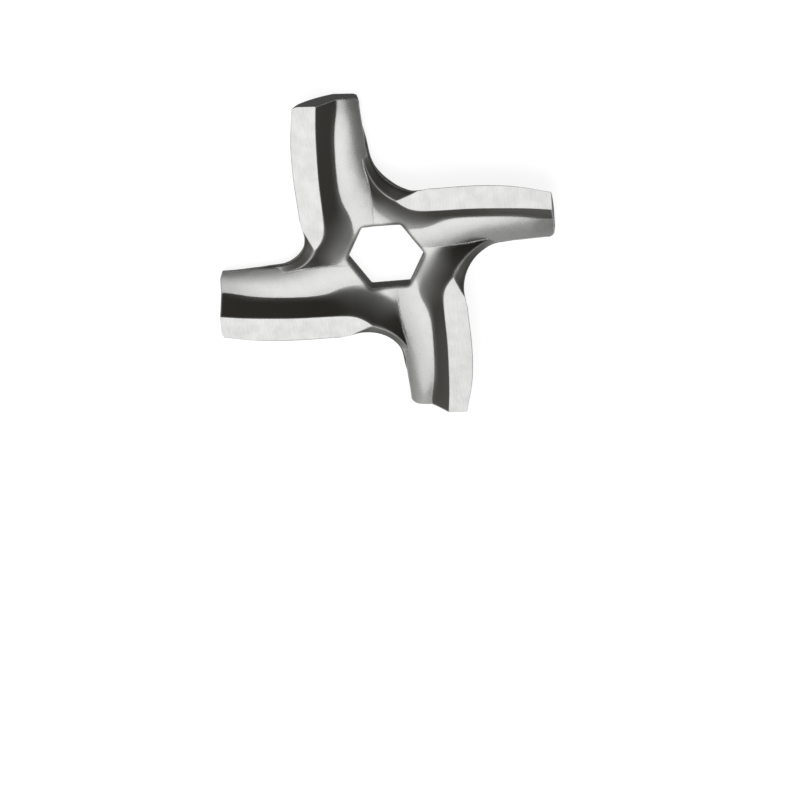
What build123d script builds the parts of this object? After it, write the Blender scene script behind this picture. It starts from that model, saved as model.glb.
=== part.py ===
from build123d import *
from dataclasses import dataclass
import math
import os

# Four-armed meat grinder knife, one steel piece.
# Axis of the grinder = Z.  z = 0 is the broad ground base face, z = HEIGHT the four narrow
# ground lands.  Every profile below is written for the arm that points along +X, its
# leading (cutting) side towards +Y; the other arms are the same arm turned a quarter each.

# ---------------------------------------------------------------- driving sizes, mm
ARMS = 4
HEIGHT = 4.15            # base face to ground lands
HUB_THICK = 1.9          # hub round the drive hole
FLATS = 8.8              # drive hole, across the flats of the hexagon
HOLE_ROUND = 0.35        # rounding of the hexagon's corners
REACH = 22.1             # axis to the arm's end face, measured along the arm
END_SLANT = 2.6          # degrees the end face leans away from square to the arm
RIM_STOCK = 1.0          # cast height the grinding takes off at the cutting edge
CREST_STOCK = 1.0        # and at the inner edge of the land

EDGE_OFFSET = 10.05      # cutting edge, greatest distance from the arm's own axis line
EDGE_SWEEP = 2.05        # how far the cutting edge runs in by the tip
EDGE_SWEEP_FULL = 1.45   # the same on the two arms that are ground fuller
FULL_ARMS = (1, 2)       # those two arms, counted from +X towards +Y
FULL_SLANT = 4.2         # slant of their end face, degrees
FULL_SIDE = 9.1          # where their end face would meet the leading side
FULL_ROUND = 1.5         # rounding of that leading tip corner
LAND_INNER = 6.75        # inner edge of the land, near the root
LAND_SWEEP = 1.1         # how far that edge runs in by the tip
BASE_LEAD = 5.5          # leading edge of the base face, near the root
BASE_SWEEP = 1.65        # how far that edge runs in by the tip
SCOOP_DEPTH = 0.07       # hollow of the leading wall, share of its chord
TIP_BELLY = 0.08         # the wall turns from hollow to full by the tip, share of its chord
EDGE_START = 0.23        # where the cutting edge starts to run in, share of the way to the tip
LAND_START = 0.175       # and the same for the inner edge of the land

TRAIL_TIP = 0.5          # trailing side of the free arm
TRAIL_LOW = 1.25         # height of the rim where it meets that side
TIP_ROUND = 1.1          # rounding of the trailing tip corner

NOTCH_X, NOTCH_Y = 5.0, 15.1     # centre the rim turns about between two arms
RIM_RADIUS = 5.3                 # plan radius of that rim
BASE_ARC_X, BASE_ARC_Y = 5.25, 10.95   # centre of the base face's inner corner
BASE_ARC_RADIUS = 5.45

RIM_BEVEL = 0.25         # broken edge of the unground rim
HEEL_SET = 0.48          # least set-back of the wall's foot from the rim round the notch
SINK = 0.45              # how far the wall sinks into the next arm at the end of its run-out
EDGE_ROOT_DROP = 0.25    # how far the cutting edge drops back at the root
LAND_ROOT_RISE = 0.6     # how far the land's inner edge moves out at the root
EDGE_LEAN = 1.5          # run over rise of the leading wall just under the cutting edge
RIM_FALL = 0.38          # fall of the rim for each mm round the notch
RIM_START = 5.0          # where on the arm the rim starts to fall below the lands
EDGE_TOP = 0.05          # how far the leading wall runs on above the ground land

ARM_SHARES = (1.14, 0.965, 0.79, 0.585, 0.38, 0.175)   # sections, shares of the way to the tip
TURN_ANGLES = (0, 10, 20, 32, 44, 55, 66, 78)          # sections round the notch, degrees
RUN_OUT = (0.6, 2.0, 3.6)      # lengths past the turn over which the wall sinks into the ridge
RIDGE_START = 3.0        # the ridge starts here, inside the drive hole
TOE_SET = 0.6            # the ridge's hidden foot stands back this far under the wall
OVERRUN = 1.9            # and runs on past the end face before it is cut
BEHIND = 8.0             # an arm is kept this far behind the axis, past all its metal
FLARE_RUN, FLARE = 8.0, 1.5    # the side kept behind a full arm's leading corner opens this much
CLEAR = 1.0              # how far a cutting shape runs past the metal it cuts


def bow(t, start, end, value, drop, power):
    """Value of an edge line that leaves `value` at start and has dropped by `drop` at end."""
    return value - drop * max(0.0, (t - start) / (end - start)) ** power


def ramp(t, points):
    """Piecewise linear value through (position, value) pairs."""
    if t <= points[0][0]:
        return points[0][1]
    for (t0, v0), (t1, v1) in zip(points, points[1:]):
        if t <= t1:
            return v0 + (v1 - v0) * (t - t0) / (t1 - t0)
    return points[-1][1]


@dataclass
class FlangeProfile:
    """One cross-section of the raised blade wall, in its own upright plane.

    `u` runs from the hub side (small) to the open side (large); heights are above the base.
    The wall starts at the foot on the base face, leans out to the rim, carries the crest
    that is ground to a land, and comes down the flank to a hollow foot inside.
    """

    base_u: float        # foot of the leading wall on the base face
    rim_u: float         # rim, the cutting edge where it is ground
    rim_z: float
    lip: float           # upright band between the leading wall and the rim
    crest_u: float       # top of the flank
    crest_z: float
    foot_u: float        # where the flank line would meet the inside foot
    foot_z: float
    blend: float         # length of the hollow blend on the inside foot
    inner_u: float       # how far the foot plate reaches under the hub or the ridge
    hold: float = 0.75   # how long the flank keeps its slope before it turns (0..1)
    scoop: float = SCOOP_DEPTH    # hollow of the leading wall, negative where it is full

    def wire(self, plane):
        """Closed outline of the section on `plane`, always the same eight edges."""
        base = Vector(self.base_u, 0.0)
        lip = Vector(self.rim_u, min(self.rim_z - self.lip, HEIGHT + EDGE_TOP))
        rim = Vector(self.rim_u, self.rim_z - RIM_BEVEL)
        top = Vector(self.rim_u - RIM_BEVEL, self.rim_z)
        crest = Vector(self.crest_u, self.crest_z)
        turn = Vector(self.foot_u, self.foot_z)
        foot = Vector(self.foot_u - self.blend, self.foot_z)
        inner = Vector(self.inner_u, self.foot_z)
        heel = Vector(self.inner_u, 0.0)
        chord = lip - base
        hollow = Vector(-chord.Y, chord.X) * self.scoop
        edges = [
            Edge.make_three_point_arc(base, base + chord * 0.5 + hollow, lip),
            Edge.make_line(lip, rim),
            Edge.make_line(rim, top),
            Edge.make_line(top, crest),
            Edge.make_bezier(crest, crest + (turn - crest) * self.hold,
                             foot + (turn - foot) * self.hold, foot),
            Edge.make_line(foot, inner),
            Edge.make_line(inner, heel),
            Edge.make_line(heel, base),
        ]
        return Wire([plane.from_local_coords(edge) for edge in edges])


def arm_plane(x):
    """Upright plane square to the arm at distance x from the axis; u is the y value."""
    return Plane(origin=(x, 0, 0), x_dir=(0, 1, 0), z_dir=(1, 0, 0))


def turn_plane(angle):
    """Upright plane through the notch centre, turned by `angle` from the arm's last plane.

    Its u value is counted so that it equals y on the straight arm (angle 0).
    """
    a = math.radians(angle)
    out = Vector(math.sin(a), math.cos(a), 0)
    origin = Vector(NOTCH_X, NOTCH_Y, 0) - out * NOTCH_Y
    return Plane(origin=origin, x_dir=out, z_dir=(math.cos(a), -math.sin(a), 0))


def arm_profile(t, sweep):
    """Section of the blade wall on the straight arm, at share `t` of the way to its end face.

    `sweep` shapes the cutting edge towards the tip.
    """
    x = NOTCH_X + t * (REACH - NOTCH_X)
    base_u = bow(t, 0, 1, BASE_LEAD, BASE_SWEEP, 1.5)
    edge_u = bow(t, EDGE_START, 1.02, EDGE_OFFSET, sweep, 2.6)
    edge_u -= EDGE_ROOT_DROP * max(0.0, 1 - t / EDGE_START) ** 2
    land_u = bow(t, LAND_START, 1.02, LAND_INNER, LAND_SWEEP, 1.5)
    land_u += LAND_ROOT_RISE * max(0.0, 1 - t / LAND_START) ** 2
    return FlangeProfile(
        base_u=base_u,
        rim_u=edge_u + EDGE_TOP * EDGE_LEAN,
        rim_z=min(HEIGHT + RIM_STOCK, HEIGHT - RIM_FALL * (RIM_START - x)), lip=0.3,
        crest_u=land_u + CREST_STOCK, crest_z=HEIGHT + CREST_STOCK,
        foot_u=ramp(t, [(0, 5.1), (0.18, 5.15), (0.41, 5.1), (0.58, 4.9), (0.79, 4.45),
                        (1, 3.4)]),
        foot_z=HUB_THICK + ramp(t, [(0, 0), (0.25, 0.07), (0.6, 0.07), (0.79, 0), (1, -0.3)]),
        blend=ramp(t, [(0, 1.5), (0.23, 0.9), (0.76, 0.9), (1, 0.5)]),
        inner_u=ramp(t, [(0.38, 2.7), (0.58, 3.0), (0.79, 2.8), (1, 2.45)]),
        hold=ramp(t, [(0, 0.6), (0.23, 0.75), (0.76, 0.75), (1, 0.6)]),
        scoop=ramp(t, [(0.55, SCOOP_DEPTH), (1, -TIP_BELLY)]))


def turn_profile(angle):
    """Section of the blade wall where it turns round the notch and runs down."""
    a = math.radians(angle)
    # distance from the notch centre to the round inner corner of the base face
    dx, dy = NOTCH_X - BASE_ARC_X, NOTCH_Y - BASE_ARC_Y
    b = -dx * math.sin(a) - dy * math.cos(a)
    corner = -b + math.sqrt(b * b - dx * dx - dy * dy + BASE_ARC_RADIUS ** 2)
    rim_run = NOTCH_X - RIM_START - a * RIM_RADIUS
    return FlangeProfile(
        base_u=NOTCH_Y - max(corner, RIM_RADIUS + HEEL_SET),
        rim_u=NOTCH_Y - RIM_RADIUS,
        rim_z=max(TRAIL_LOW, HEIGHT + RIM_FALL * rim_run),
        lip=ramp(angle, [(0, 0.4), (32, 0.95), (50, 0.9), (70, 0.45)]),
        crest_u=NOTCH_Y - ramp(angle, [(0, 6.8), (10, 6.8), (20, 6.8), (35, 6.65),
                                       (50, 6.5), (65, 6.35), (80, 6.2)]),
        crest_z=HEIGHT + ramp(angle, [(0, 0.95), (10, 0.5), (20, 0.0), (35, -0.5),
                                      (50, -1.1), (65, -1.9), (80, -2.7)]),
        foot_u=NOTCH_Y - ramp(angle, [(0, 10.35), (12, 10.0), (24, 9.3), (36, 8.6), (48, 7.6),
                                      (58, 6.95), (68, 6.7), (80, 6.5)]),
        foot_z=HUB_THICK - ramp(angle, [(24, 0), (33, 0.12), (44, 0.45), (55, 0.65), (80, 0.8)]),
        blend=ramp(angle, [(0, 1.5), (12, 1.8), (24, 2.0), (36, 1.6), (48, 0.9), (58, 0.4),
                           (80, 0.3)]),
        inner_u=NOTCH_Y - ramp(angle, [(0, 12.6), (36, 12.5), (48, 10.0), (58, 9.0), (80, 8.0)]),
        hold=ramp(angle, [(0, 0.6), (48, 0.6), (58, 0.7)]))


def run_out_profile(length):
    """Section of the wall past the turn, where it sinks into the next arm's trailing side."""
    sink = SINK * (length / RUN_OUT[-1]) ** 1.5
    return FlangeProfile(
        base_u=NOTCH_Y - RIM_RADIUS - HEEL_SET - sink * 0.7, rim_u=NOTCH_Y - RIM_RADIUS - sink,
        rim_z=TRAIL_LOW - sink * 0.3, lip=0.4,
        crest_u=NOTCH_Y - 6.2, crest_z=TRAIL_LOW, foot_u=NOTCH_Y - 6.5, foot_z=1.1,
        blend=0.3, inner_u=NOTCH_Y - 8.0, hold=0.7)


def blade_wall(sweep):
    """Raised wall of one arm, from past the tip, round the notch, into the next arm."""
    sections = [arm_profile(t, sweep).wire(arm_plane(NOTCH_X + t * (REACH - NOTCH_X)))
                for t in ARM_SHARES]
    sections += [turn_profile(a).wire(turn_plane(a)) for a in TURN_ANGLES]
    sections += [run_out_profile(s).wire(Plane(origin=(NOTCH_X - NOTCH_Y, NOTCH_Y + s, 0),
                                               x_dir=(1, 0, 0), z_dir=(0, -1, 0)))
                 for s in RUN_OUT]
    return Solid.make_loft(sections, ruled=False)


def ridge_section(x, trail, crown_z, lead):
    """Section of the ridge: trailing wall, round back, leading corner of the crease."""
    (foot_y, top_y, top_z), (lead_y, lead_z) = trail, lead
    plane = arm_plane(x)
    heel, top = Vector(foot_y, 0), Vector(top_y, top_z)
    crown = Vector((top_y + lead_y) / 2, crown_z)
    corner, hip = Vector(lead_y, lead_z), Vector(lead_y, lead_z / 2)
    toe = Vector(lead_y - TOE_SET, 0)
    edges = [
        Edge.make_line(heel, top),
        Edge.make_three_point_arc(top, crown, corner),
        Edge.make_line(corner, hip),
        Edge.make_line(hip, toe),
        Edge.make_line(toe, heel),
    ]
    return Wire([plane.from_local_coords(edge) for edge in edges])


def ridge():
    """Low rounded back of one arm behind its blade wall, even rows from root to tip."""
    rows = [
        ((0.95, 0.85, 1.72), 1.87, (4.9, 1.72)),
        ((0.95, 0.85, 1.8), 1.98, (5.0, 1.86)),
        ((0.95, 0.85, 1.71), 2.04, (5.05, 1.98)),
        ((0.9, 0.82, 1.55), 2.05, (4.95, 2.1)),
        ((0.78, 0.6, 1.33), 1.96, (4.68, 2.1)),
        ((0.85, 0.55, 1.26), 1.88, (4.35, 2.02)),
        ((0.95, 0.58, 1.2), 1.75, (4.0, 1.85)),
        ((1.02, 0.62, 1.12), 1.57, (3.6, 1.6)),
    ]
    pitch = (REACH + OVERRUN - RIDGE_START) / (len(rows) - 1)
    sections = [ridge_section(RIDGE_START + i * pitch, *row) for i, row in enumerate(rows)]
    return Solid.make_loft(sections, ruled=False)


def arm(sweep, full):
    """One arm, wall and ridge together, cut across at the tip with a round trailing corner.

    `sweep` is how far its cutting edge runs in by the tip; a `full` arm keeps its leading
    tip corner, which is rounded too.
    """
    lean = math.tan(math.radians(FULL_SLANT if full else END_SLANT))
    lead_y = FULL_SIDE if full else 2 * FULL_SIDE
    lead_x = REACH + lead_y * lean
    side_y = max(NOTCH_Y + RUN_OUT[-1], lead_y + FLARE) + CLEAR
    keep = Polygon((-BEHIND, TRAIL_TIP), (REACH, TRAIL_TIP), (lead_x, lead_y),
                   (lead_x - FLARE_RUN, lead_y + FLARE), (0, side_y), (-BEHIND, side_y),
                   align=None)
    corners = keep.vertices().sort_by(Axis.X)[-2:].sort_by(Axis.Y)
    keep = fillet(corners[0], TIP_ROUND)
    if full:
        corner = keep.vertices().sort_by_distance((lead_x, lead_y, 0))[0]
        keep = fillet(corner, FULL_ROUND)
    body = blade_wall(sweep) + ridge()
    return body & extrude(keep, HEIGHT + CREST_STOCK + CLEAR)


def drive_hole():
    """Hexagonal cutter for the drive hole, its corners rounded."""
    hexagon = RegularPolygon(FLATS / 2, 6, major_radius=False, rotation=0)
    hexagon = fillet(hexagon.vertices(), HOLE_ROUND)
    return Pos(0, 0, -CLEAR) * extrude(hexagon, HEIGHT + 2 * CLEAR)


def grinding():
    """Everything above the height the lands are ground to."""
    side = 4 * REACH
    depth = CREST_STOCK + 2 * CLEAR
    return Pos(0, 0, HEIGHT + depth / 2) * Box(side, side, depth)


def knife():
    """The whole knife: each arm ground and cut for the drive hole, then all joined."""
    plain = arm(EDGE_SWEEP, False)
    full = arm(EDGE_SWEEP_FULL, True)
    hole, off = drive_hole(), grinding()
    body = Part()
    for turn in range(ARMS):
        one = full if turn in FULL_ARMS else plain
        body += one.rotate(Axis.Z, turn * 360 / ARMS) - off - hole
    return body


if __name__ == "__main__":
    os.makedirs("parts", exist_ok=True)
    piece = knife()
    piece.label = "knife"
    export_step(piece, "parts/knife.step")
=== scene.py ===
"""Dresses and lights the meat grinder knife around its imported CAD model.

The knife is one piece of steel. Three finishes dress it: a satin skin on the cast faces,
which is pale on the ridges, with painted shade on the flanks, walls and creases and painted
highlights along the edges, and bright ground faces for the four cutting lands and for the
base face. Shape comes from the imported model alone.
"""

import logging
import math
from dataclasses import dataclass, field
from enum import Enum
from typing import Any

import bpy
from mathutils import Matrix, Vector

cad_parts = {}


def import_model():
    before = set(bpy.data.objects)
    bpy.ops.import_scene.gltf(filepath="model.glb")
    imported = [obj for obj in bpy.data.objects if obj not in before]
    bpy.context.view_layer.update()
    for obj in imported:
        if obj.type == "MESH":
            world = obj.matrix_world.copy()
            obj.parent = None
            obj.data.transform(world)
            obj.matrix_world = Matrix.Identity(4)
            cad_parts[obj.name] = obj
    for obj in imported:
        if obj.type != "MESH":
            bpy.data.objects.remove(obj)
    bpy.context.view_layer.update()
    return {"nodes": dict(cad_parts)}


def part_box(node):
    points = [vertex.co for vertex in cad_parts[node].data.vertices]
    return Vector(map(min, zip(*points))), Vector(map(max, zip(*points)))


MM = 0.001
LOG = logging.getLogger("knife")


# ---------------------------------------------------------------- small helpers
def linear(hex_colour: str) -> tuple[float, float, float, float]:
    """Turn an sRGB hex colour into Blender's linear RGBA.

    Args:
        hex_colour: Colour such as "#C8C8C4".

    Returns:
        Red, green, blue and alpha, linear, alpha 1.
    """
    channels = [int(hex_colour[i:i + 2], 16) / 255 for i in (1, 3, 5)]
    done = [c / 12.92 if c <= 0.04045 else ((c + 0.055) / 1.055) ** 2.4 for c in channels]
    return (done[0], done[1], done[2], 1.0)


def add_node(tree: bpy.types.NodeTree, kind: str, links: dict[Any, Any] | None = None,
             values: dict[Any, Any] | None = None, **settings: Any) -> bpy.types.Node:
    """Add one node with its settings, socket values and incoming links.

    Args:
        tree: Node tree that takes the node.
        kind: Node type, such as "ShaderNodeBump".
        links: Input socket name or number -> output socket that feeds it.
        values: Input socket name or number -> value set on it.
        **settings: Attributes of the node itself.

    Returns:
        The new node.
    """
    node = tree.nodes.new(kind)
    for name, value in settings.items():
        setattr(node, name, value)
    for socket, value in (values or {}).items():
        node.inputs[socket].default_value = value
    for socket, source in (links or {}).items():
        tree.links.new(source, node.inputs[socket])
    return node


def tint(tree: bpy.types.NodeTree, share: bpy.types.NodeSocket,
         colour: bpy.types.NodeSocket, towards: str) -> bpy.types.NodeSocket:
    """Mix a colour towards a fixed one.

    Args:
        tree: Node tree of the material.
        share: How much of the fixed colour, 0 to 1.
        colour: The colour to start from.
        towards: The fixed colour, sRGB hex.

    Returns:
        The mixed colour.
    """
    return add_node(tree, "ShaderNodeMix", {"Factor": share, "A": colour},
                    {"B": linear(towards)}, data_type="RGBA").outputs["Result"]


def direction(azimuth: float, elevation: float) -> Vector:
    """Unit vector towards a place round the object.

    Args:
        azimuth: Degrees from +X towards +Y.
        elevation: Degrees above the floor.

    Returns:
        The unit vector.
    """
    a, e = math.radians(azimuth), math.radians(elevation)
    return Vector((math.cos(e) * math.cos(a), math.cos(e) * math.sin(a), math.sin(e)))


def look_at(place: Vector, target: Vector, roll: float = 0.0) -> Matrix:
    """World matrix of a camera or lamp that stands at a place and looks at a target.

    Args:
        place: Where it stands, in metres.
        target: What it looks at, in metres.
        roll: Turn about its own line of sight, in degrees.

    Returns:
        The 4x4 matrix.
    """
    turn = (target - place).to_track_quat("-Z", "Y").to_matrix().to_4x4()
    return Matrix.Translation(place) @ turn @ Matrix.Rotation(math.radians(roll), 4, "Z")


# ---------------------------------------------------------------- finishes
class Grain(Enum):
    """Direction in which a machined face was ground."""

    ALONG_X = (90.0, "grinding marks along X")
    ALONG_Y = (0.0, "grinding marks along Y")


@dataclass(frozen=True)
class SatinSteel:
    """Satin steel skin: soft pale reflections on the ridges, dark grey flanks and walls.

    The dark of the steep and upright faces and of the creases is painted shade, and the bright
    edge lines are painted highlight, both in the colour itself, so they stay under any light.
    """

    name: str = "satin_steel_skin"
    bright: str = "#D4D4D2"          # the two pale greys that mottle the ridges
    dull: str = "#C0C0BE"
    painted_wall_shade: str = "#504E48"            # painted shade: dark, slightly warm grey of the steep faces
    shade: str = "#2A2927"           # painted shade: nearly black, for upright faces and creases
    painted_edge_glint: str = "#E6E6E4"            # painted highlight: bright line along the edges
    roughness: tuple[float, float] = (0.22, 0.30)
    wall_roughness: float = 0.5      # dull, so that the flanks mirror little
    wall_metal: float = 0.2          # little of the metal's mirror there either
    recess_shine: float = 0.2        # and a weak shine over their dark colour
    mottle_mm: float = 1.6           # cloudy patches on the ridges
    grain_mm: float = 0.22           # about the finest grain that shows at this picture size
    mottle_share: tuple[float, float] = (0.3, 0.7)
    edge_mm: float = 0.4             # width of the painted highlight line
    edge_turn: tuple[float, float] = (0.90, 0.99)
    edge_strength: float = 0.8
    edge_upright: float = 0.12       # share of it that is left on upright faces
    lip_mm: float = 0.3              # edges look slightly rounded
    crease_mm: float = 0.45          # width of the painted shade line in a crease
    crease_open: tuple[float, float] = (0.55, 0.97)
    crease_strength: float = 0.95
    slope_deg: tuple[float, float] = (9.0, 43.0)      # painted shade: pale up to one slope, dark past the other
    upright_z: tuple[float, float] = (0.1, 0.5)
    blend_mm: float = 1.1            # the change is soft on the hub ...
    blend_from_mm: float = 7.0
    blend_to_mm: float = 13.0
    blend_least_mm: float = 0.08     # ... and sharp out on the arms
    roll_start_mm: float = 15.0      # past this radius the ridges look rounded off
    roll_per_mm: float = 0.022
    grain_strength: float = 0.12
    grain_height_mm: float = 0.02

    def material(self) -> bpy.types.Material:
        """Build the material.

        Returns:
            The material, ready for a slot.
        """
        mat = bpy.data.materials.new(self.name)
        mat.use_nodes = True
        tree = mat.node_tree
        tree.nodes.clear()
        place = add_node(tree, "ShaderNodeTexCoord").outputs["Object"]
        mottle = self.noise(tree, place, self.mottle_mm, 3.0)
        grain = self.noise(tree, place, self.grain_mm, 2.0)
        radius = self.radius(tree, place)
        upward = self.upward(tree, radius)
        steep = self.steep(tree, upward)
        rough = add_node(tree, "ShaderNodeMapRange", {"Value": mottle},
                         {"From Min": self.mottle_share[0], "From Max": self.mottle_share[1],
                          "To Min": self.roughness[0], "To Max": self.roughness[1]})
        rough = add_node(tree, "ShaderNodeMix", {"Factor": steep, "A": rough.outputs["Result"]},
                         {"B": self.wall_roughness})
        metal = add_node(tree, "ShaderNodeMapRange", {"Value": steep},
                         {"To Min": 1.0, "To Max": self.wall_metal})
        shader = add_node(tree, "ShaderNodeBsdfPrincipled",
                          {"Base Color": self.colour(tree, mottle, grain, upward, steep),
                           "Roughness": rough.outputs["Result"],
                           "Metallic": metal.outputs["Result"],
                           "Normal": self.relief(tree, radius, grain)},
                          {"Specular IOR Level": self.recess_shine})
        add_node(tree, "ShaderNodeOutputMaterial", {"Surface": shader.outputs["BSDF"]})
        return mat

    def noise(self, tree: bpy.types.NodeTree, place: bpy.types.NodeSocket, size_mm: float,
              detail: float) -> bpy.types.NodeSocket:
        """Cloudy pattern.

        Args:
            tree: Node tree of the material.
            place: Object coordinates.
            size_mm: Size of its patches.
            detail: Number of finer layers in it.

        Returns:
            The pattern, about 0 to 1.
        """
        return add_node(tree, "ShaderNodeTexNoise", {"Vector": place},
                        {"Scale": 1 / (size_mm * MM), "Detail": detail,
                         "Roughness": 0.6}).outputs["Fac"]

    def radius(self, tree: bpy.types.NodeTree,
               place: bpy.types.NodeSocket) -> bpy.types.NodeSocket:
        """Distance from the knife's axis.

        Args:
            tree: Node tree of the material.
            place: Object coordinates.

        Returns:
            The distance in metres.
        """
        flat = add_node(tree, "ShaderNodeVectorMath", {0: place}, {1: (1, 1, 0)},
                        operation="MULTIPLY")
        return add_node(tree, "ShaderNodeVectorMath", {0: flat.outputs["Vector"]},
                        operation="LENGTH").outputs["Value"]

    def upward(self, tree: bpy.types.NodeTree,
               radius: bpy.types.NodeSocket) -> bpy.types.NodeSocket:
        """How far a face looks up, eased across edges: much on the hub, little on the arms.

        Args:
            tree: Node tree of the material.
            radius: Distance from the axis.

        Returns:
            The normal's Z, 1 for level faces.
        """
        reach = add_node(tree, "ShaderNodeMapRange", {"Value": radius},
                         {"From Min": self.blend_from_mm * MM, "From Max": self.blend_to_mm * MM,
                          "To Min": self.blend_mm * MM, "To Max": self.blend_least_mm * MM})
        eased = add_node(tree, "ShaderNodeBevel", {"Radius": reach.outputs["Result"]},
                         samples=16)
        return add_node(tree, "ShaderNodeSeparateXYZ",
                        {"Vector": eased.outputs["Normal"]}).outputs["Z"]

    def steep(self, tree: bpy.types.NodeTree,
              upward: bpy.types.NodeSocket) -> bpy.types.NodeSocket:
        """Share of the painted shade on the steep faces, by slope.

        Args:
            tree: Node tree of the material.
            upward: The normal's Z.

        Returns:
            0 on the ridges, 1 on the flanks and walls.
        """
        slope = add_node(tree, "ShaderNodeMath", {0: upward}, operation="ARCCOSINE")
        return add_node(tree, "ShaderNodeMapRange", {"Value": slope.outputs[0]},
                        {"From Min": math.radians(self.slope_deg[0]),
                         "From Max": math.radians(self.slope_deg[1]),
                         "To Min": 0.0, "To Max": 1.0},
                        interpolation_type="SMOOTHSTEP").outputs["Result"]

    def colour(self, tree: bpy.types.NodeTree, mottle: bpy.types.NodeSocket,
               grain: bpy.types.NodeSocket, upward: bpy.types.NodeSocket,
               steep: bpy.types.NodeSocket) -> bpy.types.NodeSocket:
        """Colour of the skin, with painted shade and painted highlights in it.

        Args:
            tree: Node tree of the material.
            mottle: Coarse pattern.
            grain: Fine pattern.
            upward: The normal's Z.
            steep: Share of the painted shade on the steep faces.

        Returns:
            The colour.
        """
        patchy = add_node(tree, "ShaderNodeMix", {"A": mottle, "B": grain}, {"Factor": 0.5})
        colour = add_node(tree, "ShaderNodeMix", {"Factor": patchy.outputs["Result"]},
                          {"A": linear(self.dull), "B": linear(self.bright)},
                          data_type="RGBA").outputs["Result"]
        # painted shade: steep faces are tinted towards a dark grey
        colour = tint(tree, steep, colour, self.painted_wall_shade)
        # painted shade: upright faces are coloured darkest; those that look down are as grey as
        # the flanks
        tilt = add_node(tree, "ShaderNodeMath", {0: upward}, operation="ABSOLUTE")
        upright = add_node(tree, "ShaderNodeMapRange", {"Value": tilt.outputs[0]},
                           {"From Min": self.upright_z[0], "From Max": self.upright_z[1],
                            "To Min": 1.0, "To Max": 0.0}).outputs["Result"]
        colour = tint(tree, upright, colour, self.shade)
        # painted shade: creases are coloured as a fine dark line
        open_sky = add_node(tree, "ShaderNodeAmbientOcclusion", None,
                            {"Distance": self.crease_mm * MM}, samples=8, only_local=True)
        crease = add_node(tree, "ShaderNodeMapRange", {"Value": open_sky.outputs["AO"]},
                          {"From Min": self.crease_open[0], "From Max": self.crease_open[1],
                           "To Min": self.crease_strength, "To Max": 0.0})
        colour = tint(tree, crease.outputs["Result"], colour, self.shade)
        # painted highlight: edges are coloured bright, least on upright faces
        facing = add_node(tree, "ShaderNodeNewGeometry").outputs["Normal"]
        edge = add_node(tree, "ShaderNodeBevel", None, {"Radius": self.edge_mm * MM}, samples=6)
        kept = add_node(tree, "ShaderNodeVectorMath", {0: edge.outputs["Normal"], 1: facing},
                        operation="DOT_PRODUCT")
        edge_glint_share = add_node(tree, "ShaderNodeMapRange", {"Value": kept.outputs["Value"]},
                          {"From Min": self.edge_turn[0], "From Max": self.edge_turn[1],
                           "To Min": self.edge_strength, "To Max": 0.0})
        reached = add_node(tree, "ShaderNodeMapRange", {"Value": upright},
                           {"To Min": 1.0, "To Max": self.edge_upright})
        edge_glint_share = add_node(tree, "ShaderNodeMath",
                          {0: edge_glint_share.outputs["Result"], 1: reached.outputs["Result"]},
                          operation="MULTIPLY")
        return tint(tree, edge_glint_share.outputs[0], colour, self.painted_edge_glint)

    def relief(self, tree: bpy.types.NodeTree, radius: bpy.types.NodeSocket,
               grain: bpy.types.NodeSocket) -> bpy.types.NodeSocket:
        """Shading relief: rounded edges, ridges that roll off to the tips, and the grain.

        Args:
            tree: Node tree of the material.
            radius: Distance from the axis.
            grain: Fine pattern.

        Returns:
            The normal.
        """
        past = add_node(tree, "ShaderNodeMath", {0: radius}, {1: self.roll_start_mm * MM},
                        operation="SUBTRACT")
        past = add_node(tree, "ShaderNodeMath", {0: past.outputs[0]}, {1: 0.0},
                        operation="MAXIMUM")
        square = add_node(tree, "ShaderNodeMath", {0: past.outputs[0], 1: past.outputs[0]},
                          operation="MULTIPLY")
        drop = add_node(tree, "ShaderNodeMath", {0: square.outputs[0]},
                        {1: -self.roll_per_mm / 2 / MM}, operation="MULTIPLY")
        lip = add_node(tree, "ShaderNodeBevel", None, {"Radius": self.lip_mm * MM}, samples=6)
        rolled = add_node(tree, "ShaderNodeBump",
                          {"Height": drop.outputs[0], "Normal": lip.outputs["Normal"]},
                          {"Strength": 1.0, "Distance": 1.0})
        return add_node(tree, "ShaderNodeBump",
                        {"Height": grain, "Normal": rolled.outputs["Normal"]},
                        {"Strength": self.grain_strength,
                         "Distance": self.grain_height_mm * MM}).outputs["Normal"]


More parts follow.
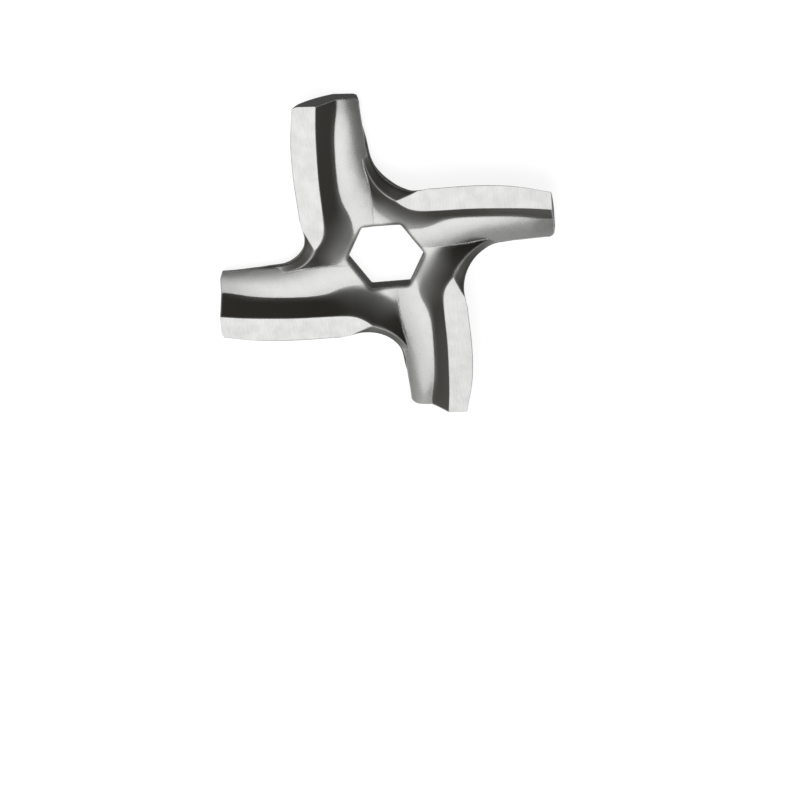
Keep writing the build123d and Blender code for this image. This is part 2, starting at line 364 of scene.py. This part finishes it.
@dataclass(frozen=True)
class GroundSteel:
    """Ground steel: matte and bright, with fine straight grinding marks."""

    name: str
    grain: Grain
    bright: str = "#E6E6E5"          # the two pale greys of the marks
    dull: str = "#CACAC9"
    roughness: tuple[float, float] = (0.28, 0.40)
    mark_width_mm: float = 0.2       # about the finest mark that shows at this picture size
    mark_length_mm: float = 2.4
    cloud_mm: float = 1.5            # faint unevenness under the marks
    cloud_share: float = 0.35
    contrast: tuple[float, float] = (0.35, 0.65)
    rough_share: tuple[float, float] = (0.3, 0.7)
    edge_mm: float = 0.08            # keeps the ground edges crisp
    mark_strength: float = 0.3
    mark_height_mm: float = 0.02

    def material(self) -> bpy.types.Material:
        """Build the material.

        Returns:
            The material, ready for a slot.
        """
        mat = bpy.data.materials.new(self.name)
        mat.use_nodes = True
        tree = mat.node_tree
        tree.nodes.clear()
        place = add_node(tree, "ShaderNodeTexCoord").outputs["Object"]
        turned = add_node(tree, "ShaderNodeMapping", {"Vector": place},
                          {"Rotation": (0, 0, math.radians(self.grain.value[0])),
                           "Scale": (1 / (self.mark_width_mm * MM),
                                     1 / (self.mark_length_mm * MM), 1)})
        marks = add_node(tree, "ShaderNodeTexNoise", {"Vector": turned.outputs["Vector"]},
                         {"Scale": 1.0, "Detail": 3.0, "Roughness": 0.65}).outputs["Fac"]
        cloud = add_node(tree, "ShaderNodeTexNoise", {"Vector": place},
                         {"Scale": 1 / (self.cloud_mm * MM), "Detail": 2.0}).outputs["Fac"]
        both = add_node(tree, "ShaderNodeMix", {"A": marks, "B": cloud},
                        {"Factor": self.cloud_share})
        both = add_node(tree, "ShaderNodeMapRange", {"Value": both.outputs["Result"]},
                        {"From Min": self.contrast[0], "From Max": self.contrast[1]})
        colour = add_node(tree, "ShaderNodeMix", {"Factor": both.outputs["Result"]},
                          {"A": linear(self.dull), "B": linear(self.bright)},
                          data_type="RGBA")
        rough = add_node(tree, "ShaderNodeMapRange", {"Value": marks},
                         {"From Min": self.rough_share[0], "From Max": self.rough_share[1],
                          "To Min": self.roughness[0], "To Max": self.roughness[1]})
        edge = add_node(tree, "ShaderNodeBevel", None, {"Radius": self.edge_mm * MM}, samples=6)
        skin = add_node(tree, "ShaderNodeBump",
                        {"Height": marks, "Normal": edge.outputs["Normal"]},
                        {"Strength": self.mark_strength,
                         "Distance": self.mark_height_mm * MM})
        shader = add_node(tree, "ShaderNodeBsdfPrincipled",
                          {"Base Color": colour.outputs["Result"],
                           "Roughness": rough.outputs["Result"],
                           "Normal": skin.outputs["Normal"]}, {"Metallic": 1.0})
        add_node(tree, "ShaderNodeOutputMaterial", {"Surface": shader.outputs["BSDF"]})
        return mat


@dataclass(frozen=True)
class PaleFloor:
    """Matte board that reads plain white and still takes the knife's shadow."""

    name: str = "matte_white_board"
    colour: str = "#B4B4B4"
    lift: float = 0.88

    def material(self) -> bpy.types.Material:
        """Build the material.

        Returns:
            The material, ready for a slot.
        """
        mat = bpy.data.materials.new(self.name)
        mat.use_nodes = True
        tree = mat.node_tree
        tree.nodes.clear()
        path = add_node(tree, "ShaderNodeLightPath")
        seen = add_node(tree, "ShaderNodeMath",
                        {0: path.outputs["Is Camera Ray"], 1: path.outputs["Is Glossy Ray"]},
                        operation="MAXIMUM")
        seen = add_node(tree, "ShaderNodeMath",
                        {0: seen.outputs[0], 1: path.outputs["Is Transmission Ray"]},
                        operation="MAXIMUM")
        lift = add_node(tree, "ShaderNodeMath", {0: seen.outputs[0]}, {1: self.lift},
                        operation="MULTIPLY")
        board = add_node(tree, "ShaderNodeBsdfDiffuse", None, {"Color": linear(self.colour)})
        glow = add_node(tree, "ShaderNodeEmission", {"Strength": lift.outputs[0]})
        both = add_node(tree, "ShaderNodeAddShader",
                        {0: board.outputs["BSDF"], 1: glow.outputs["Emission"]})
        add_node(tree, "ShaderNodeOutputMaterial", {"Surface": both.outputs["Shader"]})
        return mat


# ---------------------------------------------------------------- the knife
class Face(Enum):
    """Kinds of surface on the knife; the value is the material slot's number."""

    SKIN = 0
    LAND = 1
    BASE = 2


@dataclass
class Knife:
    """The one-piece knife: the CAD node keeps its shape and gets its finishes here."""

    node: bpy.types.Object
    flat_mm: float = 0.01

    def finishes(self) -> list[bpy.types.Material]:
        """Materials in the order of Face."""
        return [SatinSteel().material(),
                GroundSteel("ground_cutting_lands", Grain.ALONG_Y).material(),
                GroundSteel("ground_base_face", Grain.ALONG_X, roughness=(0.34, 0.46)).material()]

    def dress(self) -> None:
        """Give each face of the node its finish by where it lies and how it looks."""
        low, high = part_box(self.node.name)
        mesh = self.node.data
        mesh.materials.clear()
        for finish in self.finishes():
            mesh.materials.append(finish)
        flat = self.flat_mm * MM
        for polygon in mesh.polygons:
            heights = [mesh.vertices[i].co.z for i in polygon.vertices]
            kind = Face.SKIN
            if min(heights) > high.z - flat:
                kind = Face.LAND
            elif max(heights) < low.z + flat:
                kind = Face.BASE
            polygon.material_index = kind.value
        LOG.info("%s dressed: %d faces", self.node.name, len(mesh.polygons))


# ---------------------------------------------------------------- the studio
@dataclass
class Softbox:
    """One soft area lamp aimed at the knife."""

    name: str
    azimuth: float
    elevation: float
    distance: float
    width: float
    height: float
    radiance: float

    def build(self, target: Vector) -> bpy.types.Object:
        """Make the lamp.

        Args:
            target: Point it is aimed at, in metres.

        Returns:
            The lamp object.
        """
        lamp = bpy.data.lights.new(self.name, "AREA")
        lamp.shape = "RECTANGLE"
        lamp.size, lamp.size_y = self.width, self.height
        lamp.energy = self.radiance * math.pi * self.width * self.height
        holder = bpy.data.objects.new(self.name, lamp)
        holder.matrix_world = look_at(
            target + direction(self.azimuth, self.elevation) * self.distance, target)
        bpy.context.scene.collection.objects.link(holder)
        LOG.info("lamp %s", self.name)
        return holder


@dataclass(frozen=True)
class Glow:
    """One soft round glow of the room."""

    turn: float          # degrees round from the way that points up in the picture
    elevation: float     # degrees above the floor
    full: float          # full strength within this many degrees of its middle
    gone: float          # and none past this many
    strength: float


@dataclass
class Studio:
    """Floor, light and camera of a plain product picture."""

    floor_size: float = 6.0
    floor_drop_mm: float = 0.02
    aim_mm: tuple[float, float] = (-1.19, -22.19)
    camera_azimuth: float = 73.93
    camera_elevation: float = 60.76
    camera_roll: float = -170.21
    camera_distance_mm: float = 356.43
    lens_mm: float = 119.57
    sensor_mm: float = 36.0
    picture_up: float = 85.1         # azimuth that points up in the picture
    base_light: float = 0.10         # the room where no glow reaches
    glows: tuple[Glow, ...] = (Glow(160, 79, 6, 26, 0.55), Glow(167, 38, 8, 34, 0.30),
                               Glow(110, 20, 5, 60, 0.06), Glow(-124, 54, 5, 42, 0.12))
    wall_light: float = 0.60         # pale walls low down, which light the knife's sides
    wall_top: tuple[float, float] = (12, 34)          # they fade out between these elevations
    dark_elevation: float = 42       # the camera's side is dark round this elevation
    dark_reach: tuple[float, float] = (25, 62)
    dark_left: float = 0.12          # share of light that is left there
    softboxes: list[Softbox] = field(default_factory=list)

    def build(self, low: Vector) -> None:
        """Set up floor, world, lamps, camera and view settings.

        Args:
            low: Lowest corner of the knife, in metres.
        """
        scene = bpy.context.scene
        scene.view_settings.view_transform = "Standard"
        self.floor(low.z - self.floor_drop_mm * MM)
        self.world()
        for box in self.softboxes:
            box.build(Vector((0, 0, 0)))
        scene.camera = self.camera()

    def floor(self, height: float) -> bpy.types.Object:
        """Lay the floor.

        Args:
            height: Its height in metres.

        Returns:
            The floor object.
        """
        half = self.floor_size / 2
        mesh = bpy.data.meshes.new("floor")
        corners = [(-half, -half, height), (half, -half, height), (half, half, height),
                   (-half, half, height)]
        mesh.from_pydata(corners, [], [(0, 1, 2, 3)])
        board = bpy.data.objects.new("floor", mesh)
        mesh.materials.append(PaleFloor().material())
        bpy.context.scene.collection.objects.link(board)
        return board

    def world(self) -> None:
        """Light the room: bright above, dim towards the walls, dark on the camera's side."""
        world = bpy.data.worlds.new("studio_room")
        world.use_nodes = True
        tree = world.node_tree
        tree.nodes.clear()
        look = add_node(tree, "ShaderNodeTexCoord").outputs["Generated"]
        level: bpy.types.NodeSocket | None = None
        for glow in self.glows:
            lit = self.cone(tree, look, self.picture_up + glow.turn, glow.elevation,
                            (glow.full, glow.gone), (glow.strength, 0.0))
            if level is not None:
                lit = add_node(tree, "ShaderNodeMath", {0: level, 1: lit},
                               operation="ADD").outputs[0]
            level = lit
        room = add_node(tree, "ShaderNodeMath", {0: level}, {1: self.base_light},
                        operation="ADD")
        height = add_node(tree, "ShaderNodeSeparateXYZ", {"Vector": look}).outputs["Z"]
        walls = add_node(tree, "ShaderNodeMapRange", {"Value": height},
                         {"From Min": math.sin(math.radians(self.wall_top[0])),
                          "From Max": math.sin(math.radians(self.wall_top[1])),
                          "To Min": self.wall_light, "To Max": 0.0},
                         interpolation_type="SMOOTHSTEP")
        room = add_node(tree, "ShaderNodeMath",
                        {0: room.outputs[0], 1: walls.outputs["Result"]}, operation="ADD")
        shade = self.cone(tree, look, self.picture_up, self.dark_elevation,
                          self.dark_reach, (self.dark_left, 1.0))
        total = add_node(tree, "ShaderNodeMath", {0: room.outputs[0], 1: shade},
                         operation="MULTIPLY")
        back = add_node(tree, "ShaderNodeBackground", {"Strength": total.outputs[0]},
                        {"Color": linear("#FFFFFF")})
        add_node(tree, "ShaderNodeOutputWorld", {"Surface": back.outputs["Background"]})
        bpy.context.scene.world = world

    def cone(self, tree: bpy.types.NodeTree, look: bpy.types.NodeSocket, azimuth: float,
             elevation: float, reach: tuple[float, float],
             levels: tuple[float, float]) -> bpy.types.NodeSocket:
        """Level that changes smoothly with the angle from one direction.

        Args:
            tree: Node tree of the world.
            look: Direction looked at.
            azimuth: Azimuth of the middle, in degrees.
            elevation: Elevation of the middle, in degrees.
            reach: Angles from the middle where the change begins and ends, in degrees.
            levels: Level inside and level outside.

        Returns:
            The level.
        """
        spread = add_node(tree, "ShaderNodeVectorMath", {0: look},
                          {1: direction(azimuth, elevation)}, operation="DOT_PRODUCT")
        return add_node(tree, "ShaderNodeMapRange", {"Value": spread.outputs["Value"]},
                        {"From Min": math.cos(math.radians(reach[1])),
                         "From Max": math.cos(math.radians(reach[0])),
                         "To Min": levels[1], "To Max": levels[0]},
                        interpolation_type="SMOOTHSTEP").outputs["Result"]

    def camera(self) -> bpy.types.Object:
        """Make the camera.

        Returns:
            The camera object.
        """
        data = bpy.data.cameras.new("camera")
        data.lens, data.sensor_width = self.lens_mm, self.sensor_mm
        data.clip_start, data.clip_end = 0.01, 50.0
        target = Vector((self.aim_mm[0] * MM, self.aim_mm[1] * MM, 0))
        place = target + direction(self.camera_azimuth, self.camera_elevation) \
            * self.camera_distance_mm * MM
        holder = bpy.data.objects.new("camera", data)
        holder.matrix_world = look_at(place, target, self.camera_roll)
        bpy.context.scene.collection.objects.link(holder)
        return holder


def main() -> None:
    """Build the knife's finishes and the studio round it."""
    logging.basicConfig(level=logging.INFO, format="%(name)s: %(message)s")
    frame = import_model()
    Knife(frame["nodes"]["knife"]).dress()
    up = Studio.picture_up
    Studio(softboxes=[
        Softbox("main_softbox", up + 130, 68, 0.6, 0.68, 0.68, 0.75),
    ]).build(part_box("knife")[0])


if __name__ == "__main__":
    main()
